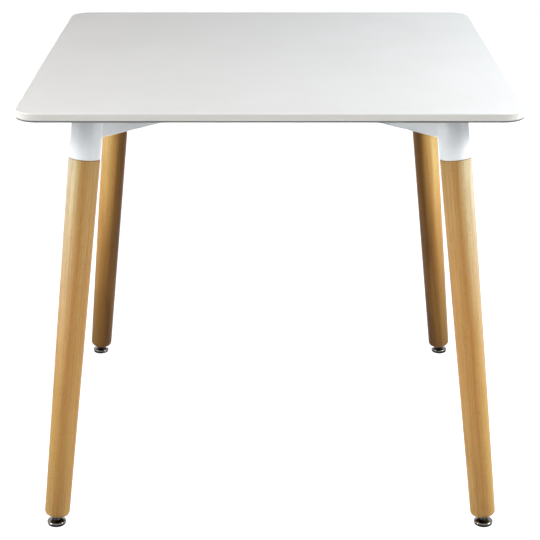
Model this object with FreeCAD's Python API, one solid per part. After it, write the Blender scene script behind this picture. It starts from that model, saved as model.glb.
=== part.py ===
import FreeCAD, Part
import math
import os
from FreeCAD import Placement, Rotation, Vector

# Square dining table: a thin lacquered top on a diagonal steel cross frame, with four
# leaning turned legs in round steel sleeves and four swivelling screw feet.
# Millimetres, +Z up, origin on the floor under the middle of the top, -Y is the front.

# Top board
table_height = 740.0
top_width = 800.0
top_depth = 800.0
top_thickness = 15.0
top_corner_radius = 38.0
top_upper_edge_radius = 2.5
top_lower_edge_radius = 1.5

# Stance of the legs
foot_spacing = 740.0
leg_lean_deg = 8.6

# Cross frame of rectangular tube
arm_width = 25.0
arm_depth = 55.0
arm_wall = 1.5
arm_corner_radius = 3.0

# Sleeves, slightly narrower at the top than at the rim
sleeve_length = 86.0
sleeve_rim_radius = 26.0
sleeve_top_radius = 24.8
sleeve_wall = 2.0
sleeve_rim_chamfer = 0.6

# Legs
leg_end_radius = 21.4
leg_end_rounding = 8.0
leg_shoulder_chamfer = 0.8
tenon_clearance = 0.3
tenon_end_gap = 8.0
tenon_chamfer = 3.0

# Flange joint at the middle of the frame
joint_plate_thickness = 4.0
joint_plate_width = 70.0
joint_plate_corner_radius = 4.0
joint_bolt_radius = 4.0
joint_bolt_hole_radius = 4.25
joint_bolt_spacing_across = 48.0
joint_bolt_spacing_up = 28.0
joint_bolt_head_flats = 13.0
joint_bolt_head_height = 5.3
joint_nut_height = 6.5
joint_bolt_tip = 3.0

# Tabs and bolts that hold the top
tab_length = 30.0
tab_reach = 24.0
tab_thickness = 2.5
tab_corner_radius = 7.0
tab_hole_radius = 3.3
tab_inner_place = 110.0
tab_outer_place = 330.0
top_bolt_radius = 3.0
top_bolt_head_radius = 5.5
top_bolt_head_height = 3.3
top_bolt_head_chamfer = 1.4
top_bolt_socket_flats = 4.0
top_bolt_socket_depth = 2.0
top_insert_radius = 4.5
top_insert_length = 11.0
top_insert_floor = 1.0

# Bolt that holds each leg in its sleeve
leg_bolt_place = 14.0
leg_bolt_hole_radius = 3.25
leg_bolt_tip = 2.0
leg_insert_radius = 4.5
leg_insert_length = 12.0
leg_insert_recess = 0.4

# Swivelling screw foot
foot_travel_out = 12.0
foot_travel_in = 1.5
foot_rest_gap = 1.7
ball_height = 7.2
ball_radius = 5.0
ball_shell_thickness = 1.3
ball_shell_top = 3.0
neck_radius = 2.8
collar_flats = 11.0
collar_start = 5.1
collar_height = 3.0
stem_radius = 4.0
stem_thread_length = 30.0
stem_chamfer = 0.8
running_clearance = 0.05
fit_clearance = 0.05
foot_insert_radius = 6.5
foot_insert_length = 22.0
foot_insert_flange_radius = 9.5
foot_insert_flange_thickness = 1.2

# Disc of the foot: black base and nickel cap
base_radius = 15.4
base_edge_height = 4.4
base_edge_chamfer = 0.6
cap_radius = 16.4
cap_thickness = 0.8
cap_skirt_overlap = 0.4
cap_skirt_height = 6.6
cap_shoulder_rounding = 2.4
cap_crown_rise = 2.2
cap_hole_radius = 7.6

# One overrun serves every cut
overrun = 1.0

# Turn of each corner's diagonal about +Z, from +X
corner_azimuths_deg = {
    "front_left": 225.0,
    "front_right": 315.0,
    "rear_right": 45.0,
    "rear_left": 135.0,
}

# Places worked out from the sizes above. A corner is modelled on its own diagonal, with
# +X pointing out from the table's middle, and then turned to its azimuth.
X_AXIS = Vector(1, 0, 0)
Y_AXIS = Vector(0, 1, 0)
Z_AXIS = Vector(0, 0, 1)
ORIGIN = Vector(0, 0, 0)
lean = math.radians(leg_lean_deg)
underside = table_height - top_thickness
arm_bottom = underside - arm_depth
arm_middle = underside - arm_depth / 2
foot_reach = foot_spacing / math.sqrt(2)
ball_centre = Vector(foot_reach, 0, ball_height)
leg_frame = Placement(ball_centre, Rotation(Y_AXIS, -leg_lean_deg))
disc_frame = Placement(Vector(foot_reach, 0, 0), Rotation())
axis_to_underside = (underside - ball_height) / math.cos(lean)
sleeve_rim_place = axis_to_underside - sleeve_length
sleeve_axis_reach = foot_reach - (underside - ball_height) * math.tan(lean)
collar_end = collar_start + collar_height
leg_end_place = collar_end + foot_rest_gap
leg_bolt_axis_place = sleeve_rim_place + leg_bolt_place
joint_face = arm_width / 2 + joint_plate_thickness


def sleeve_radius(place):
    """Outer radius of the sleeve at a place along the leg's axis."""
    rise = (place - sleeve_rim_place) / sleeve_length
    return sleeve_rim_radius + (sleeve_top_radius - sleeve_rim_radius) * rise


def rounded_outline(corners, to_space):
    """Closed wire through (u, v, rounding) corners, each rounded by a tangent arc."""
    count = len(corners)
    starts, ends, middles = [], [], []
    for index, (u, v, rounding) in enumerate(corners):
        point = Vector(u, v, 0)
        before = Vector(*corners[index - 1][:2], 0) - point
        after = Vector(*corners[(index + 1) % count][:2], 0) - point
        if rounding == 0:
            starts.append(point)
            ends.append(point)
            middles.append(None)
            continue
        before.normalize()
        after.normalize()
        half_angle = before.getAngle(after) / 2
        reach = rounding / math.tan(half_angle)
        inward = before + after
        inward.normalize()
        centre = point + inward * (rounding / math.sin(half_angle))
        starts.append(point + before * reach)
        ends.append(point + after * reach)
        middles.append(centre - inward * rounding)
    edges = []
    for index in range(count):
        if middles[index] is not None:
            arc = [starts[index], middles[index], ends[index]]
            edges.append(Part.Arc(*[to_space(p.x, p.y) for p in arc]).toShape())
        following = starts[(index + 1) % count]
        if (following - ends[index]).Length > Part.Vertex(ORIGIN).Tolerance:
            run = [to_space(p.x, p.y) for p in (ends[index], following)]
            edges.append(Part.LineSegment(*run).toShape())
    return Part.Wire(edges)


def turned(corners):
    """Solid turned about Z from (radius, height, rounding) corners."""
    wire = rounded_outline(corners, lambda u, v: Vector(u, 0, v))
    return Part.Face(wire).revolve(ORIGIN, Z_AXIS, 360)


def rounded_bar(width, depth, rounding, start, end):
    """Bar along X with a rounded rectangular section, centred on Y and Z."""
    half_width, half_depth = width / 2, depth / 2
    corners = [
        (-half_width, -half_depth, rounding),
        (half_width, -half_depth, rounding),
        (half_width, half_depth, rounding),
        (-half_width, half_depth, rounding),
    ]
    wire = rounded_outline(corners, lambda u, v: Vector(start, u, v))
    return Part.Face(wire).extrude(X_AXIS * (end - start))


def rod(radius, start, end, direction=Z_AXIS):
    """Cylinder about an axis through the origin, from one place on it to another."""
    return Part.makeCylinder(radius, end - start, direction * start, direction)


def ring(outer, inner, start, end, direction=Z_AXIS):
    """Flat ring or bush about an axis through the origin."""
    hole = rod(inner, start - overrun, end + overrun, direction)
    return rod(outer, start, end, direction).cut(hole)


def hexagon(flats, start, end):
    """Hexagonal prism about Z."""
    corner_radius = flats / math.sqrt(3)
    points = []
    for turn in range(7):
        angle = math.radians(60 * turn)
        points.append(Vector(corner_radius * math.cos(angle), corner_radius * math.sin(angle), start))
    return Part.Face(Part.makePolygon(points)).extrude(Z_AXIS * (end - start))


def placed(shape, placement):
    """Copy of a shape moved by a placement."""
    copy = shape.copy()
    copy.Placement = placement.multiply(copy.Placement)
    return copy


def moved(shape, x, y, z):
    """Copy of a shape shifted by x, y and z."""
    return placed(shape, Placement(Vector(x, y, z), Rotation()))


def at_corner(shape, azimuth_deg):
    """Copy of a shape turned from the +X diagonal to a corner."""
    return placed(shape, Placement(ORIGIN, Rotation(Z_AXIS, azimuth_deg)))


def group(shapes):
    """Several separate solids as one shape."""
    solids = [solid for shape in shapes for solid in shape.Solids]
    return Part.makeCompound(solids)


def save(name, shape):
    """Write one sub-part, as a plain solid where it is only one."""
    solids = shape.Solids
    result = solids[0] if len(solids) == 1 else Part.makeCompound(solids)
    result.exportStep(os.path.join("parts", name + ".step"))


def button_head_bolt(shank_end):
    """Bolt along +Z with its head below the origin's plane and a hexagon socket."""
    head = turned([
        (0, 0, 0),
        (0, -top_bolt_head_height, 0),
        (top_bolt_head_radius - top_bolt_head_chamfer, -top_bolt_head_height, 0),
        (top_bolt_head_radius, top_bolt_head_chamfer - top_bolt_head_height, 0),
        (top_bolt_head_radius, 0, 0),
    ])
    socket_floor = top_bolt_socket_depth - top_bolt_head_height
    socket = hexagon(top_bolt_socket_flats, -top_bolt_head_height - overrun, socket_floor)
    return head.cut(socket).fuse(rod(top_bolt_radius, 0, shank_end)).removeSplitter()


def tab_places():
    """Azimuth, distance from the middle and side of the arm of each tab."""
    places = []
    for azimuth_deg in corner_azimuths_deg.values():
        places.append((azimuth_deg, tab_inner_place, 1))
        places.append((azimuth_deg, tab_outer_place, -1))
    return places


def tab_bolt_offset(side):
    """How far a tab's hole lies to one side of its arm."""
    return side * (arm_width + tab_reach) / 2


def table_top():
    """Board with round corners and eased edges, with blind holes for the inserts."""
    half_width, half_depth = top_width / 2, top_depth / 2
    corners = [
        (-half_width, -half_depth, top_corner_radius),
        (half_width, -half_depth, top_corner_radius),
        (half_width, half_depth, top_corner_radius),
        (-half_width, half_depth, top_corner_radius),
    ]
    wire = rounded_outline(corners, lambda u, v: Vector(u, v, underside))
    board = Part.Face(wire).extrude(Z_AXIS * top_thickness)
    for level, radius in ((table_height, top_upper_edge_radius), (underside, top_lower_edge_radius)):
        rim = [edge for edge in board.Edges if all(abs(v.Z - level) < edge.Length * 1e-6 for v in edge.Vertexes)]
        board = board.makeFillet(radius, rim)
    hole_top = underside + top_insert_length + top_insert_floor
    hole = rod(top_insert_radius + fit_clearance, underside - overrun, hole_top)
    for azimuth_deg, distance, side in tab_places():
        board = board.cut(at_corner(moved(hole, distance, tab_bolt_offset(side), 0), azimuth_deg))
    return board


def sleeve_blank():
    """Solid inside the sleeve's outer surface, run on past the underside."""
    end = axis_to_underside + sleeve_rim_radius
    blank = turned([
        (0, sleeve_rim_place, 0),
        (sleeve_rim_radius, sleeve_rim_place, 0),
        (sleeve_radius(end), end, 0),
        (0, end, 0),
    ])
    return placed(blank, leg_frame)


def sleeve():
    """Leaning round socket, its top cut level against the underside."""
    end = axis_to_underside + sleeve_rim_radius
    inner_rim = sleeve_rim_radius - sleeve_wall
    shell = turned([
        (inner_rim, sleeve_rim_place, 0),
        (sleeve_rim_radius - sleeve_rim_chamfer, sleeve_rim_place, 0),
        (sleeve_radius(sleeve_rim_place + sleeve_rim_chamfer), sleeve_rim_place + sleeve_rim_chamfer, 0),
        (sleeve_radius(end), end, 0),
        (sleeve_radius(end) - sleeve_wall, end, 0),
    ])
    bolt_hole = rod(leg_bolt_hole_radius, 0, sleeve_rim_radius + overrun, -X_AXIS)
    shell = placed(shell.cut(moved(bolt_hole, 0, 0, leg_bolt_axis_place)), leg_frame)
    above = Part.makeBox(foot_reach * 2, foot_reach * 2, table_height, Vector(0, -foot_reach, underside))
    return shell.cut(above)


def leg():
    """Turned tapered leg with a shoulder, a tenon and bores for its inserts."""
    tenon_top = axis_to_underside - tenon_end_gap
    gap = sleeve_wall + tenon_clearance
    body = turned([
        (0, leg_end_place, 0),
        (leg_end_radius, leg_end_place, leg_end_rounding),
        (sleeve_rim_radius, sleeve_rim_place - leg_shoulder_chamfer, 0),
        (sleeve_rim_radius - leg_shoulder_chamfer, sleeve_rim_place, 0),
        (sleeve_radius(sleeve_rim_place) - gap, sleeve_rim_place, 0),
        (sleeve_radius(tenon_top - tenon_chamfer) - gap, tenon_top - tenon_chamfer, 0),
        (sleeve_radius(tenon_top) - gap - tenon_chamfer, tenon_top, 0),
        (0, tenon_top, 0),
    ])
    flange_end = leg_end_place + foot_insert_flange_thickness
    bore_end = collar_end + stem_thread_length + foot_travel_in + overrun
    body = body.cut(rod(foot_insert_flange_radius + fit_clearance, leg_end_place - overrun, flange_end))
    body = body.cut(rod(foot_insert_radius + fit_clearance, leg_end_place, bore_end))
    tenon_radius = sleeve_radius(leg_bolt_axis_place) - gap
    pocket = rod(leg_insert_radius + fit_clearance, leg_insert_depth(), tenon_radius + overrun, -X_AXIS)
    tip = rod(top_bolt_radius + fit_clearance, leg_bolt_end() - overrun, tenon_radius, -X_AXIS)
    body = body.cut(moved(pocket.fuse(tip), 0, 0, leg_bolt_axis_place))
    return placed(body, leg_frame)


def leg_insert_depth():
    """Distance from the leg's axis to the inner end of its side insert."""
    tenon_radius = sleeve_radius(leg_bolt_axis_place) - sleeve_wall - tenon_clearance
    return tenon_radius - leg_insert_recess - leg_insert_length


def leg_bolt_end():
    """Distance from the leg's axis to the tip of its side bolt."""
    return leg_insert_depth() - leg_bolt_tip


def leg_insert():
    """Threaded insert in the tenon's inner side."""
    start = leg_insert_depth()
    bush = ring(leg_insert_radius, top_bolt_radius + fit_clearance, start, start + leg_insert_length, -X_AXIS)
    return placed(moved(bush, 0, 0, leg_bolt_axis_place), leg_frame)


def leg_bolt():
    """Button-head bolt through the sleeve's inner side into the tenon."""
    seat = sleeve_radius(leg_bolt_axis_place - top_bolt_head_radius)
    bolt = button_head_bolt(seat - leg_bolt_end())
    to_side = Placement(Vector(-seat, 0, leg_bolt_axis_place), Rotation(Y_AXIS, 90))
    return placed(placed(bolt, to_side), leg_frame)


def tube(start, end):
    """Length of the frame's rectangular tube along X, its top at the underside."""
    outer = rounded_bar(arm_width, arm_depth, arm_corner_radius, start, end)
    inner_width = arm_width - 2 * arm_wall
    inner_depth = arm_depth - 2 * arm_wall
    inner = rounded_bar(inner_width, inner_depth, arm_corner_radius - arm_wall, start - overrun, end + overrun)
    return moved(outer.cut(inner), 0, 0, arm_middle)


def joint_hole_places():
    """Places of the joint's bolts across the arm and up it."""
    half_across, half_up = joint_bolt_spacing_across / 2, joint_bolt_spacing_up / 2
    return [(y, arm_middle + z) for y in (-half_across, half_across) for z in (-half_up, half_up)]


def main_rail():
    """Tube from one sleeve to the opposite one, coped to both, with the joint's holes."""
    rail = tube(-sleeve_axis_reach, sleeve_axis_reach)
    blank = sleeve_blank()
    rail = rail.cut(blank).cut(at_corner(blank, 180))
    hole = rod(joint_bolt_hole_radius, -arm_width, arm_width, Y_AXIS)
    for along, up in joint_hole_places():
        rail = rail.cut(moved(hole, along, 0, up))
    return rail


def cross_arm():
    """Tube from the joint plate to one sleeve, coped to the sleeve."""
    return tube(joint_face, sleeve_axis_reach).cut(sleeve_blank())


def joint_plate():
    """Drilled plate on a cross arm's inner end, flat against the main rail."""
    plate = rounded_bar(joint_plate_width, arm_depth, joint_plate_corner_radius, arm_width / 2, joint_face)
    plate = moved(plate, 0, 0, arm_middle)
    hole = rod(joint_bolt_hole_radius, 0, joint_face + overrun, X_AXIS)
    for across, up in joint_hole_places():
        plate = plate.cut(moved(hole, 0, across, up))
    return plate


def joint_bolts():
    """Hexagon bolts that clamp both joint plates on the main rail."""
    tip = joint_face + joint_nut_height + joint_bolt_tip
    head = hexagon(joint_bolt_head_flats, joint_face, joint_face + joint_bolt_head_height)
    bolt = head.fuse(rod(joint_bolt_radius, -tip, joint_face)).removeSplitter()
    bolt = placed(bolt, Placement(ORIGIN, Rotation(Y_AXIS, 90)))
    return group([moved(bolt, 0, across, up) for across, up in joint_hole_places()])


def joint_nuts():
    """Hexagon nuts on the joint's bolts."""
    nut_end = -joint_face - joint_nut_height
    nut = hexagon(joint_bolt_head_flats, nut_end, -joint_face)
    nut = nut.cut(rod(joint_bolt_radius + fit_clearance, nut_end - overrun, 0))
    nut = placed(nut, Placement(ORIGIN, Rotation(Y_AXIS, 90)))
    return group([moved(nut, 0, across, up) for across, up in joint_hole_places()])


def at_tab(shape, azimuth_deg, distance, side):
    """Copy of a shape made about Z, moved to the hole of one tab."""
    return at_corner(moved(shape, distance, tab_bolt_offset(side), 0), azimuth_deg)


def mounting_tabs():
    """Drilled tabs welded to the sides of the arms, level with their tops."""
    half_length = tab_length / 2
    tabs = []
    for azimuth_deg, distance, side in tab_places():
        near, far = -side * tab_reach / 2, side * tab_reach / 2
        corners = [
            (-half_length, near, 0),
            (half_length, near, 0),
            (half_length, far, tab_corner_radius),
            (-half_length, far, tab_corner_radius),
        ]
        wire = rounded_outline(corners, lambda u, v: Vector(u, v, underside))
        plate = Part.Face(wire).extrude(-Z_AXIS * tab_thickness)
        hole = rod(tab_hole_radius, underside - tab_thickness - overrun, underside + overrun)
        tabs.append(at_tab(plate.cut(hole), azimuth_deg, distance, side))
    return group(tabs)


def top_bolts():
    """Button-head bolts from below through the tabs into the top's inserts."""
    seat = underside - tab_thickness
    bolt = button_head_bolt(tab_thickness + top_insert_length)
    return group([at_tab(moved(bolt, 0, 0, seat), *place) for place in tab_places()])


def top_inserts():
    """Threaded inserts flush in the underside of the top."""
    bush = ring(top_insert_radius, top_bolt_radius + fit_clearance, underside, underside + top_insert_length)
    return group([at_tab(bush, *place) for place in tab_places()])


def foot_insert():
    """Flanged threaded insert in the leg's lower end."""
    bore = stem_radius + running_clearance
    end = leg_end_place + foot_insert_length
    flange_end = leg_end_place + foot_insert_flange_thickness
    bush = turned([
        (bore, leg_end_place, 0),
        (foot_insert_flange_radius, leg_end_place, 0),
        (foot_insert_flange_radius, flange_end, 0),
        (foot_insert_radius, flange_end, 0),
        (foot_insert_radius, end, 0),
        (bore, end, 0),
    ])
    return placed(bush, leg_frame)


def foot_stem():
    """Screw with a ball at its lower end and a hexagon collar for a spanner."""
    thread_end = collar_end + stem_thread_length
    screw = turned([
        (0, 0, 0),
        (neck_radius, 0, 0),
        (neck_radius, collar_start, 0),
        (stem_radius, collar_start, 0),
        (stem_radius, thread_end - stem_chamfer, 0),
        (stem_radius - stem_chamfer, thread_end, 0),
        (0, thread_end, 0),
    ])
    collar = hexagon(collar_flats, collar_start, collar_end)
    stem = screw.fuse([collar, Part.makeSphere(ball_radius)]).removeSplitter()
    return placed(stem, leg_frame)


def shell_outer_radius():
    """Outer radius of the nylon shell round the ball."""
    return ball_radius + running_clearance + ball_shell_thickness


def foot_ball_shell():
    """Nylon shell snapped over the ball: the stem turns in it, the disc tilts round it."""
    outer = shell_outer_radius()
    shell = Part.makeSphere(outer).cut(Part.makeSphere(ball_radius + running_clearance))
    shell = shell.cut(rod(outer, ball_shell_top, outer + overrun))
    return placed(shell, leg_frame)


def cap_outline(inset):
    """Shoulder and hole's edge of the cap's cone, moved in by an inset along the normals."""
    crown_height = ball_height + cap_crown_rise
    slope = math.atan2(crown_height - cap_skirt_height, cap_radius - cap_hole_radius)
    shoulder_drop = inset * (1 / math.cos(slope) - math.tan(slope))
    shoulder = (cap_radius - inset, cap_skirt_height - shoulder_drop, cap_shoulder_rounding - inset)
    hole_edge = (cap_hole_radius, crown_height - inset / math.cos(slope), 0)
    return shoulder, hole_edge


def foot_base():
    """Black base that fills the cap, with the spherical socket for the ball's shell."""
    shoulder, hole_edge = cap_outline(cap_thickness + fit_clearance)
    body = turned([
        (0, 0, 0),
        (base_radius - base_edge_chamfer, 0, 0),
        (base_radius, base_edge_chamfer, 0),
        (base_radius, base_edge_height, 0),
        (shoulder[0], base_edge_height, 0),
        shoulder,
        hole_edge,
        (0, hole_edge[1], 0),
    ])
    socket = moved(Part.makeSphere(shell_outer_radius() + running_clearance), 0, 0, ball_height)
    return placed(body.cut(socket), disc_frame)


def foot_cap():
    """Pressed nickel cap over the base: skirt, rounded shoulder and a cone with a hole."""
    skirt_start = base_edge_height - cap_skirt_overlap
    outer_shoulder, outer_edge = cap_outline(0)
    inner_shoulder, inner_edge = cap_outline(cap_thickness)
    shell = turned([
        (inner_shoulder[0], skirt_start, 0),
        (outer_shoulder[0], skirt_start, 0),
        outer_shoulder,
        outer_edge,
        inner_edge,
        inner_shoulder,
    ])
    return placed(shell, disc_frame)


def build():
    """Make every sub-part and write it to parts."""
    os.makedirs("parts", exist_ok=True)
    main_azimuth = corner_azimuths_deg["rear_right"]
    bolt_azimuth = corner_azimuths_deg["front_right"]
    save("table_top", table_top())
    save("frame_main_rail", at_corner(main_rail(), main_azimuth))
    for corner in ("front_right", "rear_left"):
        azimuth_deg = corner_azimuths_deg[corner]
        save("frame_cross_arm_" + corner, at_corner(cross_arm(), azimuth_deg))
        save("frame_joint_plate_" + corner, at_corner(joint_plate(), azimuth_deg))
    save("frame_joint_bolts", at_corner(joint_bolts(), bolt_azimuth))
    save("frame_joint_nuts", at_corner(joint_nuts(), bolt_azimuth))
    save("frame_mounting_tabs", mounting_tabs())
    save("top_bolts", top_bolts())
    save("top_inserts", top_inserts())
    azimuths = corner_azimuths_deg.values()
    save("leg_bolts", group([at_corner(leg_bolt(), azimuth_deg) for azimuth_deg in azimuths]))
    save("leg_bolt_inserts", group([at_corner(leg_insert(), azimuth_deg) for azimuth_deg in azimuths]))
    corner_pieces = {
        "sleeve": sleeve(),
        "leg": leg(),
        "foot_insert": foot_insert(),
        "foot_stem": foot_stem(),
        "foot_ball_shell": foot_ball_shell(),
        "foot_base": foot_base(),
        "foot_cap": foot_cap(),
    }
    for corner, azimuth_deg in corner_azimuths_deg.items():
        for name, piece in corner_pieces.items():
            save(name + "_" + corner, at_corner(piece, azimuth_deg))


build()
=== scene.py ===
import math

import bmesh
import bpy
from mathutils import Matrix, Vector


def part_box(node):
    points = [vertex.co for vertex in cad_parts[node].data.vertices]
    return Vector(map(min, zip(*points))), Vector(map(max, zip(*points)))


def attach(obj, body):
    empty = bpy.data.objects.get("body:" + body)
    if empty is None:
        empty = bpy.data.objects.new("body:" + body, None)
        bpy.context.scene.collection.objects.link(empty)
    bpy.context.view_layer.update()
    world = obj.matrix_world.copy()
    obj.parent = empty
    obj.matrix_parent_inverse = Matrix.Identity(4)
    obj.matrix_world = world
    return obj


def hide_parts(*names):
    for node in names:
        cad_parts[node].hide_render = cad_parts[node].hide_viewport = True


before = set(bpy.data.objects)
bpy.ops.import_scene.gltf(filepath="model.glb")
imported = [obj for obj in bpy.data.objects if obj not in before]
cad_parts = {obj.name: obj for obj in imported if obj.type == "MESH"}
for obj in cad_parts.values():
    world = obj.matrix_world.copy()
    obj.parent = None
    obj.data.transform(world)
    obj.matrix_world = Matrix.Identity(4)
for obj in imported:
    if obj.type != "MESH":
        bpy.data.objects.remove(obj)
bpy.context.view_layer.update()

# Looks of a square dining table: white lacquered top, white powder-coated frame and
# sleeves, clear-lacquered beech legs and nickel-capped screw feet. Metres, +Z up.

MM = 0.001
CORNERS = ("front_left", "front_right", "rear_right", "rear_left")

# Camera, fitted to the photograph
CAMERA_PLACE = (0.0, -2.6822, 1.3467)
CAMERA_PITCH_DEG = 69.232
FOCAL_PX = 1519.5
IMAGE_PX = 540
SENSOR_WIDTH_MM = 36.0

# Construction that the frame's boxes and record don't state, as in the model
LEG_LEAN_DEG = 8.6
BALL_HEIGHT = 7.2 * MM
BALL_RADIUS = 5.0 * MM
NECK_RADIUS = 2.8 * MM
COLLAR_FLATS = 11.0 * MM
COLLAR_START = 5.1 * MM
COLLAR_HEIGHT = 3.0 * MM
STEM_LENGTH = 38.1 * MM
STEM_RADIUS = 4.0 * MM
STEM_PITCH = 1.25 * MM
THREAD_DEPTH = 0.7 * MM

# Room kept round the turning faces, because round bores are flat between their corners
TURNING_ROOM = 0.15 * MM
# Collar's chamfer: its angle, its end face's share of the flats, and its height at a flat's middle
COLLAR_CHAMFER_DEG = 30.0
COLLAR_FACE_SHARE = 0.94
COLLAR_CHAMFER_START = 0.1 * MM
# Thread's ridge over one turn, as shares of the pitch and of the depth, and the ridge's middle
THREAD_PROFILE_SHARES = ((0.0, 0.0), (0.1, 0.0), (0.45, 1.0), (0.55, 1.0), (0.9, 0.0))
THREAD_MIDDLE_SHARE = 0.5
# Steps round a turned face, from the ball's pole to its neck, round the thread and along a flat
ROUND_STEPS = 32
BALL_STEPS = 16
THREAD_STEPS = 24
COLLAR_SIDE_STEPS = 6
# Edges that bend by more than this stay sharp
SHARP_DEG = 32.0

top_low, top_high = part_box("table_top")


def corner_sign(corner):
    """Signs of x and y at a corner."""
    depth, side = corner.split("_")
    return (1 if side == "right" else -1), (1 if depth == "rear" else -1)


def ball_centre(corner):
    """Centre of a foot's ball: over the middle of its disc."""
    low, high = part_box("foot_base_" + corner)
    middle = (low + high) / 2
    return Vector((middle.x, middle.y, BALL_HEIGHT))


def leg_turn(corner):
    """Rotation that takes +Z to the leg's axis, upwards, and +X outwards."""
    sign_x, sign_y = corner_sign(corner)
    azimuth = math.atan2(sign_y, sign_x)
    return Matrix.Rotation(azimuth, 4, "Z") @ Matrix.Rotation(-math.radians(LEG_LEAN_DEG), 4, "Y")


def leg_matrix(corner):
    """From a leg's own axes, with the ball's centre as origin, to the frame."""
    return Matrix.Translation(ball_centre(corner)) @ leg_turn(corner)


# Ranges of a noise over which a tint or a roughness changes
NARROW_RANGE = (0.35, 0.65)
WIDE_RANGE = (0.3, 0.7)
NOISE_MIDDLE = 0.5
# Sockets of Blender's Mix node that hold its factor, its two colours and its result
MIX_FACTOR = 0
MIX_FIRST = 6
MIX_SECOND = 7
MIX_RESULT = 2


class Nodes:
    """A node tree, with short calls for the nodes that it needs."""

    def __init__(self, tree):
        self.tree = tree
        self.tree.nodes.clear()

    def add(self, kind, inputs=None, **settings):
        """A node with its settings, and its inputs, by name or number, as values or as links."""
        node = self.tree.nodes.new(kind)
        for name, value in settings.items():
            setattr(node, name, value)
        for name, value in (inputs or {}).items():
            if isinstance(value, bpy.types.NodeSocket):
                self.tree.links.new(value, node.inputs[name])
            else:
                node.inputs[name].default_value = value
        return node

    def math(self, operation, *values, clamp=False):
        """Result of a Math node's operation on up to three values."""
        node = self.add("ShaderNodeMath", dict(enumerate(values)), operation=operation, use_clamp=clamp)
        return node.outputs[0]

    def span(self, value, low, high, new_low=0.0, new_high=1.0):
        """Value spread from one range over another, and held inside it."""
        inputs = {"Value": value, "From Min": low, "From Max": high, "To Min": new_low, "To Max": new_high}
        return self.add("ShaderNodeMapRange", inputs).outputs[0]

    def background_rays(self):
        """1 for the rays that show the background itself, and 0 for those that light the object."""
        path = self.add("ShaderNodeLightPath").outputs
        seen = self.math("MAXIMUM", path["Is Camera Ray"], path["Is Glossy Ray"])
        return self.math("MAXIMUM", seen, path["Is Transmission Ray"])


class Material(Nodes):
    """A material by name, with calls for the textures, colours and surface that it needs."""

    def __init__(self, name):
        self.material = bpy.data.materials.new(name)
        self.material.use_nodes = True
        super().__init__(self.material.node_tree)
        self.output = self.add("ShaderNodeOutputMaterial")
        self.coords = self.add("ShaderNodeTexCoord").outputs["Object"]

    def placed(self, matrix):
        """Object coordinates in another frame, given as its matrix to the object's."""
        inverse = matrix.inverted()
        turn = inverse.to_euler()
        inputs = {"Vector": self.coords, "Rotation": turn, "Location": inverse.to_translation()}
        return self.add("ShaderNodeMapping", inputs).outputs[0]

    def stretched(self, vector, scale):
        """Coordinates scaled along each axis: a pattern on them is drawn out where the scale is low."""
        return self.add("ShaderNodeMapping", {"Vector": vector, "Scale": scale}).outputs[0]

    def drawn(self, vector, scale_z):
        """Coordinates on which a pattern is drawn out along Z alone."""
        return self.stretched(vector, (1.0, 1.0, scale_z))

    def split(self, vector):
        """Outputs X, Y and Z of a vector."""
        return self.add("ShaderNodeSeparateXYZ", {"Vector": vector}).outputs

    def from_axis(self, parts):
        """Distance from the Z axis, for coordinates that are split into their parts."""
        squares = [self.math("POWER", parts[axis], 2.0) for axis in "XY"]
        return self.math("SQRT", self.math("ADD", *squares))

    def noise(self, vector, scale, detail=3.0, roughness=0.5):
        """Noise from 0 to 1, with its scale in patches per metre."""
        inputs = {"Vector": vector, "Scale": scale, "Detail": detail, "Roughness": roughness}
        return self.add("ShaderNodeTexNoise", inputs).outputs["Fac"]

    def centred(self, noise):
        """Noise with its middle moved to zero."""
        return self.math("SUBTRACT", noise, NOISE_MIDDLE)

    def blend(self, factor, first, second):
        """Colour between two, by a factor from 0 to 1."""
        inputs = {MIX_FACTOR: factor, MIX_FIRST: first, MIX_SECOND: second}
        return self.add("ShaderNodeMix", inputs, data_type="RGBA").outputs[MIX_RESULT]

    def mottled(self, noise, tints, limits=NARROW_RANGE):
        """Colour that drifts from one tint to the other with a noise."""
        return self.blend(self.span(noise, *limits), *tints)

    def uneven(self, noise, low, high):
        """Roughness that drifts between two values with a noise."""
        return self.span(noise, *WIDE_RANGE, low, high)

    def ramp(self, value, stops):
        """Colour that changes smoothly through (place, colour) stops from 0 to 1."""
        node = self.add("ShaderNodeValToRGB", {"Fac": value})
        points = node.color_ramp.elements
        points[0].position, points[0].color = stops[0]
        points[1].position, points[1].color = stops[-1]
        for place, tint in stops[1:-1]:
            points.new(place).color = tint
        return node.outputs["Color"]

    def bump(self, height, distance, strength, under=None):
        """Normal of a relief, laid over another normal where one is given."""
        inputs = {"Height": height, "Distance": distance, "Strength": strength}
        if under is not None:
            inputs["Normal"] = under
        return self.add("ShaderNodeBump", inputs).outputs[0]

    def show(self, shader):
        """The material, with a shader node as its surface."""
        self.tree.links.new(shader.outputs[0], self.output.inputs["Surface"])
        return self.material

    def surface(self, **inputs):
        """Principled surface, with underscores for the spaces in its inputs' names."""
        named = {name.replace("_", " "): value for name, value in inputs.items()}
        return self.show(self.add("ShaderNodeBsdfPrincipled", named))


def colour(red, green, blue):
    """Linear colour with alpha from an sRGB one of 0 to 255, by the sRGB formula."""
    def linear(value):
        value /= 255
        return value / 12.92 if value <= 0.04045 else ((value + 0.055) / 1.055) ** 2.4
    return (linear(red), linear(green), linear(blue), 1.0)


# White lacquer, and the painted shade that dulls its edge face, which begins and is whole at these depths
LACQUER_TINTS = (colour(239, 238, 235), colour(242, 241, 239))
EDGE_FACE_SHADE_TINT = colour(227, 225, 219)
EDGE_FACE_SHADE_DEPTHS = (1.0 * MM, 2.6 * MM)
# Painted shade along the board's lower edge, a grey band: how far it rises up the edge, and how soft and
# ragged it ends
LOWER_EDGE_SHADE_TINT = colour(122, 123, 122)
LOWER_EDGE_SHADE_RISE = 2.9 * MM
LOWER_EDGE_SHADE_FADE = 0.3 * MM
LOWER_EDGE_SHADE_RAG = 0.6 * MM


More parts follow.
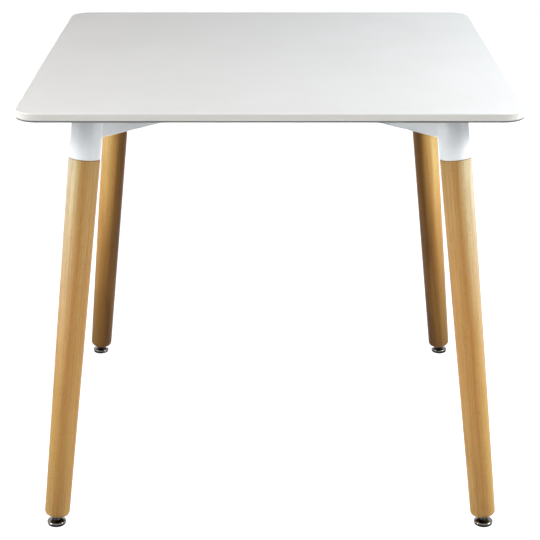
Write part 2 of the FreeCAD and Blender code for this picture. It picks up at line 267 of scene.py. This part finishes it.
def lacquer():
    """White semi-gloss lacquer on a smooth board, with painted shade on its edge face and a painted grey
    shade line along its lower edge.
    """
    m = Material("white_lacquer")
    height = m.split(m.coords)["Z"]
    clouds = m.noise(m.coords, scale=6.0, detail=4.0, roughness=0.6)
    # Painted shade on the board's edge face, from just under its top rounding downwards
    edge_face_shade = m.span(height, *(top_high.z - depth for depth in EDGE_FACE_SHADE_DEPTHS))
    tint = m.blend(edge_face_shade, m.mottled(clouds, LACQUER_TINTS), EDGE_FACE_SHADE_TINT)
    # Painted grey shade along the lower edge of the board, with a ragged upper end
    ragged = m.math("MULTIPLY_ADD", m.centred(clouds), LOWER_EDGE_SHADE_RAG, height)
    shade_line_end = top_low.z + LOWER_EDGE_SHADE_RISE
    tint = m.blend(m.span(ragged, shade_line_end + LOWER_EDGE_SHADE_FADE, shade_line_end), tint, LOWER_EDGE_SHADE_TINT)
    waves = m.bump(m.noise(m.coords, scale=60.0, detail=1.0), distance=0.03 * MM, strength=0.3)
    peel = m.noise(m.coords, scale=900.0, detail=2.0)
    smudges = m.noise(m.stretched(m.coords, (1.0, 2.5, 1.0)), scale=9.0, detail=5.0, roughness=0.65)
    return m.surface(
        Base_Color=tint,
        Roughness=m.uneven(smudges, 0.46, 0.54),
        IOR=1.45,
        Specular_IOR_Level=0.2,
        Normal=m.bump(peel, distance=0.02 * MM, strength=0.35, under=waves),
    )


POWDER_TINTS = (colour(237, 241, 244), colour(241, 244, 247))


def powder_coat():
    """White powder coat on steel, satin, with its fine pebbled skin."""
    m = Material("white_powder_coat")
    clouds = m.noise(m.coords, scale=25.0)
    pebbles = m.noise(m.coords, scale=1400.0, detail=2.0, roughness=0.4)
    return m.surface(
        Base_Color=m.mottled(clouds, POWDER_TINTS),
        Roughness=m.uneven(clouds, 0.34, 0.4),
        Specular_IOR_Level=0.45,
        Normal=m.bump(pebbles, distance=0.04 * MM, strength=0.4),
    )


# Beech by place across the leg, in mm from its middle, outer side first, high and low on the leg.
# The colours go back to averages worked out of the photo across its legs, and they hold painted light and
# shade besides the beech's tone: a painted sheen high on the outer side, the front legs' darker middle and
# lighter inner band set by how light falls, and painted shade on the rear legs' inner side and lower end
LAYER_REACH = 26.0 * MM
FRONT_HIGH_GRAIN_AND_PAINTED_LIGHT = ((-26, (206, 197, 168)), (-14, (222, 213, 178)), (-5, (214, 195, 143)),
                     (6, (182, 140, 80)), (16, (201, 167, 109)), (26, (190, 155, 96)))
FRONT_LOW_GRAIN_AND_PAINTED_LIGHT = ((-26, (168, 130, 66)), (-11, (184, 151, 86)), (3, (180, 136, 79)),
                    (16, (199, 161, 97)), (26, (176, 132, 67)))
REAR_HIGH_GRAIN_AND_PAINTED_LIGHT = ((-26, (184, 169, 111)), (-12, (194, 180, 122)), (4, (215, 178, 105)),
                    (12, (212, 161, 86)), (26, (172, 118, 50)))
REAR_LOW_GRAIN_AND_PAINTED_LIGHT = ((-11, (171, 131, 69)), (3, (141, 104, 51)), (15, (88, 62, 29)), (26, (60, 41, 17)))
# Grain and painted light of the front and the rear legs: how far to the rear of straight sideways the
# tree's middle lies and how far off, the tints seen high and low, which hold painted light and shade, the
# heights along the leg between which the low ones give way, and how much painted shade darkens the leg
# half way up
GRAIN_AND_PAINTED_LIGHT = {
    "front": {"rearward_deg": 4.0, "distance": 150.0 * MM, "high": FRONT_HIGH_GRAIN_AND_PAINTED_LIGHT,
              "low": FRONT_LOW_GRAIN_AND_PAINTED_LIGHT, "fade": (0.31, 0.67), "mid_shade": 0.14},
    "rear": {"rearward_deg": 8.0, "distance": 120.0 * MM, "high": REAR_HIGH_GRAIN_AND_PAINTED_LIGHT,
             "low": REAR_LOW_GRAIN_AND_PAINTED_LIGHT, "fade": (0.26, 0.66), "mid_shade": 0.0},
}
LAYER_WANDER = 4.0 * MM
RING_SPACING = 4.2 * MM
# Power that keeps the dark late wood to the end of each ring
RING_SHARPNESS = 3.0
# Broad noise that moves the change from low to high tints up and down: its range and its effect
FADE_DRIFT = (0.36, 0.64, -0.2, 0.2)
# Heights along the leg at which the painted shade half way up begins and is whole, from below and from
# above
MID_SHADE_BELOW = (0.16, 0.34)
MID_SHADE_ABOVE = (0.6, 0.46)
# Dark marks in the wood, in a dark beech that also gives the painted shade half way up: the range of its
# pattern in which each one grows, from none to its most
BEECH_DARK = colour(146, 89, 48)
STREAK_MARK = (0.44, 0.7, 0.0, 0.34)
LATE_WOOD_MARK = (0.0, 1.0, 0.0, 0.14)
FIBRE_MARK = (0.35, 0.7, 0.0, 0.26)
# Ray flecks, whose tint also gives the painted shade in the seam: the cells' distance at which a fleck
# begins and is whole, the range of the noise that groups them, and how dark they are
FLECK_AND_SEAM_SHADE = colour(92, 56, 28)
FLECK_EDGE = (0.26, 0.12)
FLECK_PATCHES = (0.48, 0.58)
FLECK_SHARE = 0.55
# Shade in the seam at the sleeve's rim: how far below the rim it begins and is whole, and how dark
SEAM_START = 1.6 * MM
SEAM_END = 0.2 * MM
SEAM_SHARE = 0.85
# Late wood lies lower than the rest in the relief
LATE_WOOD_RELIEF_SHARE = -0.5


def rim_height(corner):
    """Height of the sleeve's lower rim along the leg's axis, from the ball's centre."""
    to_leg = leg_matrix(corner).inverted()
    return min((to_leg @ vertex.co).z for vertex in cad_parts["sleeve_" + corner].data.vertices)


def growth_layer(m, corner, grain_and_light, along):
    """Place across the leg, counted along the tree's growth layers, in metres from its middle."""
    sign_x, sign_y = corner_sign(corner)
    sideways_deg = grain_and_light["rearward_deg"] if sign_x > 0 else 180.0 - grain_and_light["rearward_deg"]
    turn = math.radians(sideways_deg) - math.atan2(sign_y, sign_x)
    distance = grain_and_light["distance"]
    pith = Matrix.Translation((distance * math.cos(turn), distance * math.sin(turn), 0.0))
    from_pith = m.from_axis(m.split(m.placed(leg_matrix(corner) @ pith)))
    wander = m.centred(m.noise(m.drawn(along, 0.1), scale=22.0))
    return m.math("MULTIPLY_ADD", wander, LAYER_WANDER, m.math("SUBTRACT", from_pith, distance))


def layer_tone_with_painted_light(m, layer, tints):
    """Tone of the wood at a place across the leg, from (mm, tint) pairs that hold painted light and shade.
    """
    stops = [((place * MM + LAYER_REACH) / (2 * LAYER_REACH), colour(*tint)) for place, tint in tints]
    return m.ramp(m.span(layer, -LAYER_REACH, LAYER_REACH), stops)


def grain_and_painted_light_tone(m, grain_and_light, along, up, layer):
    """Tone of the wood by its growth layer and its height along the leg, from tints that hold painted
    light and shade.
    """
    broad = m.noise(m.drawn(along, 0.05), scale=48.0, detail=2.0)
    low = m.math("ADD", m.span(up, *grain_and_light["fade"], 1.0, 0.0), m.span(broad, *FADE_DRIFT), clamp=True)
    return m.blend(low, layer_tone_with_painted_light(m, layer, grain_and_light["high"]), layer_tone_with_painted_light(m, layer, grain_and_light["low"]))


def ray_flecks(m, along):
    """Strength of the short dark flecks of the wood's rays, which come in patches."""
    cells = m.add("ShaderNodeTexVoronoi",
                  {"Vector": m.drawn(along, 0.22), "Scale": 520.0, "Randomness": 1.0})
    patches = m.noise(m.drawn(along, 0.16), scale=180.0, detail=1.0)
    fleck = m.math("MULTIPLY", m.span(cells.outputs["Distance"], *FLECK_EDGE),
                   m.span(patches, *FLECK_PATCHES))
    return m.math("MULTIPLY", fleck, FLECK_SHARE)


def beech(corner):
    """Clear-lacquered beech turned along the leg: growth layers, fibres and ray flecks, with painted light
    and shade in its tints, half way up and in the seam under the sleeve.
    """
    m = Material("beech_" + corner)
    grain_and_light = GRAIN_AND_PAINTED_LIGHT[corner.split("_")[0]]
    along = m.placed(leg_matrix(corner))
    up = m.split(along)["Z"]
    layer = growth_layer(m, corner, grain_and_light, along)
    late_wood = m.math("POWER", m.math("FRACT", m.math("DIVIDE", layer, RING_SPACING)), RING_SHARPNESS)
    streaks = m.noise(m.drawn(along, 0.022), scale=260.0, detail=4.0, roughness=0.6)
    fibres = m.noise(m.drawn(along, 0.05), scale=1200.0, roughness=0.6)
    # Painted shade half way up the leg, in dark beech
    mid_shade = m.math("MULTIPLY", m.span(up, *MID_SHADE_BELOW), m.span(up, *MID_SHADE_ABOVE))
    # Tone across and along the leg, whose tints hold painted light and shade
    tone = grain_and_painted_light_tone(m, grain_and_light, along, up, layer)
    for share in (m.math("MULTIPLY", mid_shade, grain_and_light["mid_shade"]),
                  m.span(streaks, *STREAK_MARK),
                  m.span(late_wood, *LATE_WOOD_MARK),
                  m.span(fibres, *FIBRE_MARK)):
        tone = m.blend(share, tone, BEECH_DARK)
    rim = rim_height(corner)
    # Ray flecks, and painted shade in the seam under the sleeve's rim
    for share in (ray_flecks(m, along),
                  m.span(up, rim - SEAM_START, rim - SEAM_END, 0.0, SEAM_SHARE)):
        tone = m.blend(share, tone, FLECK_AND_SEAM_SHADE)
    relief = m.math("MULTIPLY_ADD", late_wood, LATE_WOOD_RELIEF_SHARE, fibres)
    return m.surface(
        Base_Color=tone,
        Roughness=m.uneven(fibres, 0.38, 0.46),
        Specular_IOR_Level=0.15,
        Normal=m.bump(relief, distance=0.05 * MM, strength=0.35),
    )


ZINC_TINTS = ((0.22, 0.23, 0.25, 1.0), (0.28, 0.27, 0.25, 1.0))


def zinc():
    """Dark zinc plate with a little blue and yellow in it."""
    m = Material("zinc_plate")
    drift = m.noise(m.coords, scale=120.0)
    grain = m.noise(m.coords, scale=3000.0, detail=2.0)
    return m.surface(
        Base_Color=m.mottled(drift, ZINC_TINTS),
        Metallic=1.0,
        Roughness=m.uneven(grain, 0.22, 0.36),
        Normal=m.bump(grain, distance=0.01 * MM, strength=0.3),
    )


NICKEL_TINTS = ((0.18, 0.17, 0.155, 1.0), (0.23, 0.22, 0.205, 1.0))
# Painted dark reflection round the foot of the cap: its upper end over the floor, and how softly it ends
DARK_REFLECTION_TINT = (0.012, 0.012, 0.012, 1.0)
DARK_REFLECTION_HEIGHT = 5.3 * MM
DARK_REFLECTION_FADE = 0.4 * MM


def nickel(corner):
    """Polished nickel pressed cap, faint turning lines round its axis and a painted dark reflection round
    its foot.
    """
    m = Material("nickel_" + corner)
    centre = ball_centre(corner)
    local = m.placed(Matrix.Translation((centre.x, centre.y, 0.0)))
    parts = m.split(local)
    turned = m.add("ShaderNodeCombineXYZ", {"X": m.from_axis(parts), "Y": parts["Z"]}).outputs[0]
    lines = m.noise(turned, scale=6000.0, detail=2.0)
    haze = m.noise(local, scale=150.0)
    # Painted dark reflection on the cap's skirt, up from the floor
    dark_reflection = m.span(parts["Z"], DARK_REFLECTION_HEIGHT, DARK_REFLECTION_HEIGHT - DARK_REFLECTION_FADE)
    return m.surface(
        Base_Color=m.blend(dark_reflection, m.mottled(haze, NICKEL_TINTS), DARK_REFLECTION_TINT),
        Metallic=1.0,
        Roughness=m.uneven(haze, 0.07, 0.14),
        Normal=m.bump(lines, distance=0.006 * MM, strength=0.4),
    )


PLASTIC_TINTS = ((0.005, 0.005, 0.006, 1.0), (0.011, 0.011, 0.012, 1.0))


def black_plastic():
    """Black moulded plastic with a fine matt skin."""
    m = Material("black_plastic")
    skin = m.noise(m.coords, scale=2500.0, detail=2.0)
    return m.surface(
        Base_Color=m.mottled(skin, PLASTIC_TINTS, limits=WIDE_RANGE),
        Roughness=m.uneven(skin, 0.38, 0.5),
        Specular_IOR_Level=0.12,
        Normal=m.bump(skin, distance=0.02 * MM, strength=0.4),
    )


NYLON_TINTS = ((0.014, 0.014, 0.014, 1.0), (0.026, 0.025, 0.024, 1.0))


def nylon():
    """Black nylon with a slight wax sheen and a mottled skin."""
    m = Material("black_nylon")
    haze = m.noise(m.coords, scale=400.0)
    return m.surface(
        Base_Color=m.mottled(haze, NYLON_TINTS, limits=WIDE_RANGE),
        Roughness=m.uneven(haze, 0.3, 0.4),
        Specular_IOR_Level=0.3,
        Normal=m.bump(haze, distance=0.02 * MM, strength=0.3),
    )


def lathe(mesh, profile):
    """Turn a (radius, height) profile about Z, closed at ends that lie on the axis."""
    turns = [2 * math.pi * step / ROUND_STEPS for step in range(ROUND_STEPS)]
    rings = []
    for radius, height in profile:
        if radius == 0:
            rings.append([mesh.verts.new((0, 0, height))])
            continue
        rings.append([mesh.verts.new((radius * math.cos(a), radius * math.sin(a), height)) for a in turns])
    for lower, upper in zip(rings, rings[1:]):
        for step in range(ROUND_STEPS):
            following = (step + 1) % ROUND_STEPS
            corners = [lower[step % len(lower)], lower[following % len(lower)],
                       upper[following % len(upper)], upper[step % len(upper)]]
            mesh.faces.new(list(dict.fromkeys(corners)))


def hexagon(mesh, flats, low, high):
    """Hexagonal collar about Z with both ends chamfered as a nut's are."""
    face_radius = COLLAR_FACE_SHARE * flats / 2
    slope = math.tan(math.radians(COLLAR_CHAMFER_DEG))
    steps = 6 * COLLAR_SIDE_STEPS
    rings = [[], [], [], []]
    for step in range(steps):
        angle = 2 * math.pi * step / steps
        from_flat = angle % (math.pi / 3) - math.pi / 6
        radius = flats / 2 / math.cos(from_flat)
        drop = max(radius - flats / 2, 0.0) * slope + COLLAR_CHAMFER_START
        places = ((face_radius, low), (radius, low + drop), (radius, high - drop), (face_radius, high))
        for ring, (reach, height) in zip(rings, places):
            ring.append(mesh.verts.new((reach * math.cos(angle), reach * math.sin(angle), height)))
    for lower, upper in zip(rings, rings[1:]):
        for step in range(steps):
            following = (step + 1) % steps
            mesh.faces.new((lower[step], lower[following], upper[following], upper[step]))
    mesh.faces.new(list(reversed(rings[0])))
    mesh.faces.new(rings[-1])


def thread(mesh, major, depth, pitch, start, end):
    """Threaded rod about Z: one helical ridge, its two ends run out to the root."""
    root = major - depth
    total = int(round((end - start) / pitch)) * THREAD_STEPS
    rows = []
    for index in range(total + 1):
        angle = 2 * math.pi * index / THREAD_STEPS
        base = start + pitch * index / THREAD_STEPS
        run_out = min(index, total - index, THREAD_STEPS) / THREAD_STEPS
        row = []
        for along, rise in THREAD_PROFILE_SHARES:
            height = min(max(base + (along - THREAD_MIDDLE_SHARE) * pitch, start), end)
            radius = root + depth * rise * run_out
            row.append(mesh.verts.new((radius * math.cos(angle), radius * math.sin(angle), height)))
        rows.append(row)
    for row, following in zip(rows, rows[1:]):
        for point in range(len(row) - 1):
            mesh.faces.new((row[point], following[point], following[point + 1], row[point + 1]))
    # Root between each turn of the ridge and the next
    for index in range(total - THREAD_STEPS):
        above = index + THREAD_STEPS
        mesh.faces.new((rows[index][-1], rows[index + 1][-1], rows[above + 1][0], rows[above][0]))


def foot_stem_mesh():
    """Ball, neck, chamfered hexagon collar and threaded stem of one foot, about Z."""
    mesh = bmesh.new()
    ball = BALL_RADIUS - TURNING_ROOM
    neck_angle = math.asin(NECK_RADIUS / ball)
    profile = []
    for step in range(BALL_STEPS + 1):
        angle = math.pi - (math.pi - neck_angle) * step / BALL_STEPS
        radius = 0.0 if step == 0 else ball * math.sin(angle)
        profile.append((radius, ball * math.cos(angle)))
    profile.append((NECK_RADIUS, COLLAR_START))
    lathe(mesh, profile)
    collar_end = COLLAR_START + COLLAR_HEIGHT
    hexagon(mesh, COLLAR_FLATS, COLLAR_START, collar_end)
    major = STEM_RADIUS - TURNING_ROOM
    thread(mesh, major, THREAD_DEPTH, STEM_PITCH, collar_end, STEM_LENGTH)
    core = major - THREAD_DEPTH
    lathe(mesh, [(0, collar_end), (core, collar_end), (core, STEM_LENGTH - THREAD_DEPTH),
                 (core - THREAD_DEPTH, STEM_LENGTH), (0, STEM_LENGTH)])
    return mesh


def finished_mesh(name, source, matrix):
    """Mesh from a bmesh, moved to its place, smooth but for its sharp edges."""
    bmesh.ops.recalc_face_normals(source, faces=source.faces)
    mesh = bpy.data.meshes.new(name)
    source.to_mesh(mesh)
    source.free()
    mesh.transform(matrix)
    mesh.shade_smooth()
    mesh.set_sharp_from_angle(angle=math.radians(SHARP_DEG))
    return mesh


def new_piece(name, mesh, material, body):
    """Object in the frame that rides on a body and takes the given material."""
    piece = bpy.data.objects.new(name, mesh)
    bpy.context.scene.collection.objects.link(piece)
    piece.data.materials.append(material)
    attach(piece, body)
    return piece


def foot_stems(material):
    """Screws of the feet, with the threads that the model leaves out."""
    for corner in CORNERS:
        mesh = finished_mesh("threaded_stem_" + corner, foot_stem_mesh(), leg_matrix(corner))
        piece = new_piece("threaded_stem_" + corner, mesh, material, "foot_screw_" + corner)
        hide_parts("foot_stem_" + corner)


def paint(names, material):
    """Give CAD nodes one material."""
    for name in names:
        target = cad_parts[name]
        target.data.materials.clear()
        target.data.materials.append(material)


def dress():
    """Materials of the nodes that keep their own shape, and the pieces made here."""
    paint(["table_top"], lacquer())
    coat = powder_coat()
    paint(["frame_main_rail", "frame_cross_arm_front_right", "frame_cross_arm_rear_left",
           "frame_joint_plate_front_right", "frame_joint_plate_rear_left", "frame_mounting_tabs"], coat)
    plate = zinc()
    paint(["frame_joint_bolts", "frame_joint_nuts", "top_bolts", "top_inserts", "leg_bolts",
           "leg_bolt_inserts"], plate)
    plastic = black_plastic()
    shell = nylon()
    for corner in CORNERS:
        paint(["sleeve_" + corner], coat)
        paint(["leg_" + corner], beech(corner))
        paint(["foot_insert_" + corner], plate)
        paint(["foot_cap_" + corner], nickel(corner))
        paint(["foot_base_" + corner], plastic)
        paint(["foot_ball_shell_" + corner], shell)
    foot_stems(plate)


# Plain studio: its light from all round, and what the background looks like
AMBIENT = (0.045, 0.045, 0.046, 1.0)
WHITE = (1.0, 1.0, 1.0, 1.0)
FLOOR_COLOUR = (0.35, 0.35, 0.35, 1.0)
FLOOR_REACH = 30.0
# The floor lies so low that a foot at its longest still shows whole
FLOOR_DROP = 12.5 * MM
# Glow that the floor adds to its own light under the table, and the distances between which
# it rises to the full white that hides the horizon
FLOOR_GLOW = 0.94
FLOOR_CLEARING = (1.2, 2.6)


def studio_world():
    """White seen directly or in a gloss, and a soft grey sky as light."""
    world = bpy.data.worlds.new("studio")
    world.use_nodes = True
    nodes = Nodes(world.node_tree)
    light = nodes.add("ShaderNodeBackground", {"Color": AMBIENT})
    white = nodes.add("ShaderNodeBackground", {"Color": WHITE})
    mix = nodes.add("ShaderNodeMixShader",
                    {0: nodes.background_rays(), 1: light.outputs[0], 2: white.outputs[0]})
    nodes.add("ShaderNodeOutputWorld", {"Surface": mix.outputs[0]})
    bpy.context.scene.world = world


def floor_finish():
    """Grey that takes the table's soft shadow, lifted to white by a glow for the camera's rays."""
    m = Material("floor")
    distance = m.add("ShaderNodeVectorMath", {0: m.coords}, operation="LENGTH").outputs["Value"]
    level = m.math("MULTIPLY", m.background_rays(), m.span(distance, *FLOOR_CLEARING, FLOOR_GLOW, 1.0))
    diffuse = m.add("ShaderNodeBsdfDiffuse", {"Color": FLOOR_COLOUR})
    glow = m.add("ShaderNodeEmission", {"Strength": level})
    return m.show(m.add("ShaderNodeAddShader", {0: diffuse.outputs[0], 1: glow.outputs[0]}))


def studio_floor():
    """Pale floor that looks white and keeps the table's soft shadow."""
    mesh = bpy.data.meshes.new("floor")
    signs = ((-1, -1), (1, -1), (1, 1), (-1, 1))
    mesh.from_pydata([(x * FLOOR_REACH, y * FLOOR_REACH, -FLOOR_DROP) for x, y in signs], [],
                     [range(len(signs))])
    mesh.materials.append(floor_finish())
    floor = bpy.data.objects.new("floor", mesh)
    bpy.context.scene.collection.objects.link(floor)


def softbox(name, place, target, size, power, spread_deg=180.0, tint=WHITE[:3], mirrored=True):
    """Rectangular lamp at a place, facing a target, unseen but in a gloss where it is mirrored."""
    lamp = bpy.data.lights.new(name, "AREA")
    lamp.shape = "RECTANGLE"
    lamp.size, lamp.size_y = size
    lamp.energy = power
    lamp.color = tint
    lamp.spread = math.radians(spread_deg)
    holder = bpy.data.objects.new(name, lamp)
    holder.location = place
    holder.rotation_euler = (Vector(target) - Vector(place)).to_track_quat("-Z", "Y").to_euler()
    holder.visible_camera = False
    holder.visible_glossy = mirrored
    bpy.context.scene.collection.objects.link(holder)


# Warm light from the left and cool light from the right, as the photograph's whites have them
WARM = (1.0, 0.93, 0.88)
COOL = (0.94, 1.0, 1.06)
# Each side's sign and word, how far back its high box stands, the powers of its high and cross
# boxes, and its tint
SIDES = (
    (-1, "left", -0.2, 13.7, 1.16, WARM),
    (1, "right", 0.0, 34.0, 0.96, COOL),
)


def side_lamps(side, word, high_depth, high_power, cross_power, tint):
    """A side's softboxes: high one, front wing, and low ones for the far, near and rear leg."""
    def beside(reach, depth, height):
        """Place on this side, or on the other one where its reach is below zero."""
        return side * reach, depth, height

    softbox(word + "_high_box", place=beside(1.7, high_depth, 1.75), target=beside(0.35, 0.0, 0.6),
            size=(0.9, 0.5), power=high_power, tint=tint)
    # Its gleam would wash out the top in views from behind
    softbox(word + "_wing_box", place=beside(1.6, -1.2, 1.4), target=beside(0.35, -0.36, 0.5),
            size=(0.5, 0.6), power=1.4, spread_deg=50.0, mirrored=False)
    softbox(word + "_cross_box", place=beside(1.5, -1.0, 0.7), target=beside(-0.37, -0.37, 0.45),
            size=(0.3, 0.5), power=cross_power, spread_deg=32.0)
    softbox(word + "_low_box", place=beside(1.7, -1.0, 0.45), target=beside(0.37, -0.37, 0.12),
            size=(0.4, 0.5), power=0.6, spread_deg=30.0)
    softbox(word + "_rear_box", place=beside(2.0, -0.7, 0.72), target=beside(0.33, 0.33, 0.42),
            size=(0.3, 0.4), power=0.7, spread_deg=18.0)


def studio_lamps():
    """Softboxes at both sides, the right high one the strongest, and one behind for the rear faces."""
    for side in SIDES:
        side_lamps(*side)
    softbox("behind_box", place=(0.0, 3.0, 0.45), target=(0.0, 0.3, 0.4), size=(1.4, 0.5), power=26.0)


def studio_camera():
    """Camera at the photograph's place and angle."""
    data = bpy.data.cameras.new("camera")
    data.sensor_fit = "HORIZONTAL"
    data.sensor_width = SENSOR_WIDTH_MM
    data.lens = FOCAL_PX * SENSOR_WIDTH_MM / IMAGE_PX
    camera = bpy.data.objects.new("camera", data)
    camera.location = CAMERA_PLACE
    camera.rotation_euler = (math.radians(CAMERA_PITCH_DEG), 0, 0)
    bpy.context.scene.collection.objects.link(camera)
    bpy.context.scene.camera = camera


bpy.context.scene.view_settings.view_transform = "Standard"
studio_camera()
studio_world()
studio_floor()
studio_lamps()
dress()
